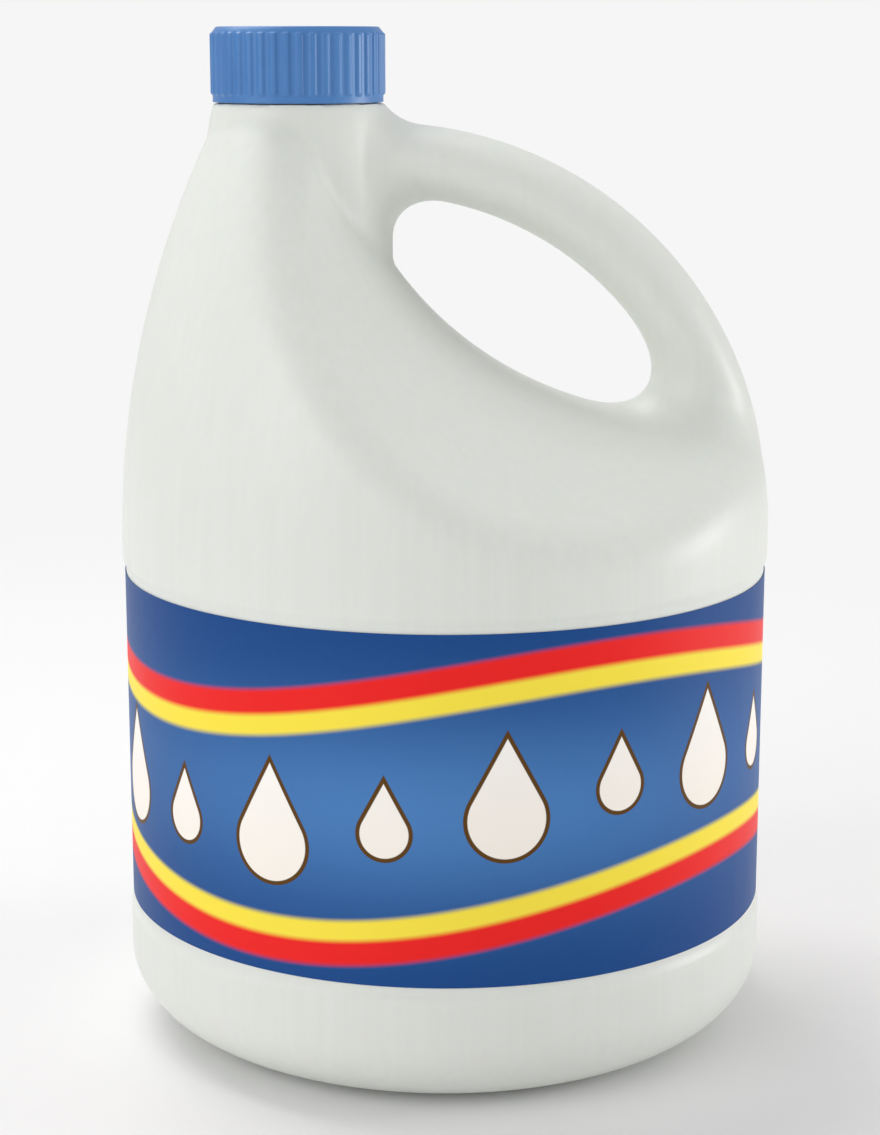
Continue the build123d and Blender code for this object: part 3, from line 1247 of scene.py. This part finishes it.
@dataclass
class ScrewCap:
    """The cap: a ribbed skirt under a flat top with a bevelled edge, and a thread inside."""

    wall: float = 1.3 * MM
    top: float = 1.4 * MM
    bevel: float = 1.3 * MM
    bevel_rounding: float = 0.35 * MM
    band: float = 1.6 * MM
    rib_count: int = 42
    rib_height: float = 0.5 * MM
    rib_run_out: float = 0.5 * MM
    rib_steepness: float = 0.9
    rib_columns: int = 14
    skirt_step: float = 0.25 * MM
    inner_step: float = 0.3 * MM
    bend_points: int = 5
    disc_rings: int = 14
    thread_turns: float = 1.3

    def _outline(self, low: float, high: float, outer: float) -> tuple[Array, Array]:
        """The cap's section: up the skirt, over the bevel, across the top and down inside.

        A short parabola eases each end of the bevel. The one starts in line with the skirt, and the
        other ends in line with the top.

        Args:
            low: Height of the skirt's foot.
            high: Height of the top.
            outer: Radius of the skirt without the ribs.

        Returns:
            Radius and height of each point, from the outer foot to the inner one.
        """
        bend = np.linspace(0, 1, self.bend_points)
        soft, edge, flat = self.bevel_rounding, high - self.bevel, outer - self.bevel
        skirt = np.linspace(low, edge - soft, math.ceil((edge - soft - low) / self.skirt_step))
        inner, ceiling = outer - self.wall, high - self.top
        across = np.linspace(flat - soft, 0, self.disc_rings)[1:]
        under = np.linspace(0, inner, self.disc_rings)[1:]
        inside = np.linspace(ceiling, low, math.ceil((ceiling - low) / self.inner_step))[1:]
        stretches = (
            (np.full(len(skirt), outer), skirt),
            (outer - soft * bend[1:] ** 2 / 2, edge - soft + soft * (bend + bend**2 / 2)[1:]),
            (flat + soft * (1 - bend) - soft * bend**2 / 2, high - soft * (1 - bend) ** 2 / 2),
            (across, np.full(len(across), high)),
            (under, np.full(len(under), ceiling)),
            (np.full(len(inside), inner), inside),
        )
        return tuple(np.concatenate(parts) for parts in zip(*stretches))

    def build(self) -> bpy.types.Object:
        """Builds and dresses the cap, whose points on the axis are merged.

        Returns:
            The cap.
        """
        low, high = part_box("screw_cap")
        outer = (high.x - low.x) / 2 - self.rib_height
        radius, height = self._outline(low.z, high.z, outer)
        angle = np.linspace(0, TURN, self.rib_count * self.rib_columns, endpoint=False)
        rib = self.rib_height * np.clip(0.5 + self.rib_steepness * np.cos(self.rib_count * angle), 0, 1)
        start = np.clip((height - low.z - self.band) / self.rib_run_out, 0, 1)
        end = np.clip((high.z - self.bevel - height) / self.rib_run_out, 0, 1)
        on_skirt = np.arange(len(radius)) < np.argmax(height)
        ribs = (start * end * on_skirt)[:, None] * rib[None, :]
        level = height[:, None] - JugForm.seat_height
        ridges = Thread().height(angle[None, :], level, math.pi / 2, self.thread_turns)
        inside = (np.arange(len(radius)) > np.argmin(radius)) & (radius >= outer - self.wall - HAIR)
        out = np.maximum(radius[:, None] + ribs - np.where(inside[:, None], ridges, 0), 0)
        points = revolve(out, height, angle, (low.x + high.x) / 2)
        piece = make_piece("ribbed_cap", points, grid_faces(len(radius), len(angle), True, True))
        with opened(piece.data) as work:
            bmesh.ops.remove_doubles(work, verts=work.verts, dist=HAIR)
        dress(piece, CapPlastic().build())
        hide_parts("screw_cap")
        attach(piece, "cap")
        return piece


class CapLiner:
    """The sealing disc, whose solid is shown as it is."""

    def build(self) -> bpy.types.Object:
        """Dresses the disc and returns it."""
        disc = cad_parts["cap_liner"]
        dress(disc, LinerFoam().build())
        return disc


class Lamp(Enum):
    """The studio's lamps: power in watts, side of the square panel and place, both in metres."""

    KEY = (10.0, 1.2, (-1.35, -1.10, 0.85))
    TOP = (12.0, 1.0, (-0.50, 0.60, 1.40))
    RIM = (6.0, 0.5, (1.30, 0.10, 0.26))
    FRONT = (1.0, 0.3, (-0.05, -1.60, 0.60))


@dataclass
class Studio:
    """Floor, lamps, world and camera."""

    floor_side: float = 8.0
    background: Colour = srgb(246, 246, 246)
    ambient: float = 0.54
    focal_pixels: float = 2472.5
    frame_height_pixels: float = 1135.0
    sensor: float = 36.0
    camera_place: Triple = (-1.26 * MM, -620.0 * MM, 248.3 * MM)
    camera_pitch: float = 0.2096
    clip: tuple[float, float] = (0.01, 50.0)
    aim: Triple = (0.0, 0.0, 0.12)

    def _floor(self) -> None:
        """Lays the paper floor, one square round the origin."""
        half = self.floor_side / 2
        corners = np.array([(-half, -half, 0), (half, -half, 0), (half, half, 0), (-half, half, 0)])
        floor = make_piece("floor", corners, np.array([[0, 1, 2, 3]]))
        floor.data.materials.append(FloorPaper().build(self.background))

    def _lamps(self) -> None:
        """Hangs the lamps and aims them at the jug's middle."""
        for lamp in Lamp:
            power, side, place = lamp.value
            light = bpy.data.lights.new(lamp.name.lower(), "AREA")
            light.energy, light.size = power, side
            holder = bpy.data.objects.new(light.name, light)
            holder.location = place
            down = Vector(self.aim) - Vector(place)
            holder.rotation_mode = "QUATERNION"
            holder.rotation_quaternion = down.to_track_quat("-Z", "Y")
            bpy.context.scene.collection.objects.link(holder)

    def _world(self) -> None:
        """Lights the jug evenly and shows the camera a pale background."""
        world = bpy.data.worlds.new("studio")
        world.use_nodes = True
        tree = world.node_tree
        tree.nodes.clear()
        output = tree.nodes.new("ShaderNodeOutputWorld")
        path = tree.nodes.new("ShaderNodeLightPath")
        chosen = tree.nodes.new("ShaderNodeMixShader")
        tree.links.new(path.outputs["Is Camera Ray"], chosen.inputs[0])
        shades = (((1.0, 1.0, 1.0), self.ambient), (self.background, 1.0))
        for number, (colour, strength) in enumerate(shades, 1):
            shade = tree.nodes.new("ShaderNodeBackground")
            shade.inputs["Color"].default_value = (*colour, 1.0)
            shade.inputs["Strength"].default_value = strength
            tree.links.new(shade.outputs[0], chosen.inputs[number])
        tree.links.new(chosen.outputs[0], output.inputs[0])
        bpy.context.scene.world = world

    def _camera(self) -> None:
        """Puts the camera in front of the jug, at the height of its cap and looking down."""
        lens = bpy.data.cameras.new("camera")
        lens.sensor_width = self.sensor
        lens.lens = self.sensor * self.focal_pixels / self.frame_height_pixels
        lens.clip_start, lens.clip_end = self.clip
        camera = bpy.data.objects.new("camera", lens)
        camera.location = self.camera_place
        camera.rotation_euler = (math.pi / 2 - self.camera_pitch, 0.0, 0.0)
        bpy.context.scene.collection.objects.link(camera)
        bpy.context.scene.camera = camera

    def build(self) -> None:
        """Builds the studio."""
        self._floor()
        self._lamps()
        self._world()
        self._camera()
        bpy.context.scene.view_settings.view_transform = "Standard"


def main() -> None:
    """Builds the pieces in order and reports each, and then builds the studio round them."""
    logging.basicConfig(level=logging.INFO, format="%(name)s: %(message)s")
    for part in (JugShell(), WrapLabel(), ScrewCap(), CapLiner()):
        piece = part.build()
        LOG.info("%s has %d faces", piece.name, len(piece.data.polygons))
    Studio().build()


if __name__ == "__main__":
    main()
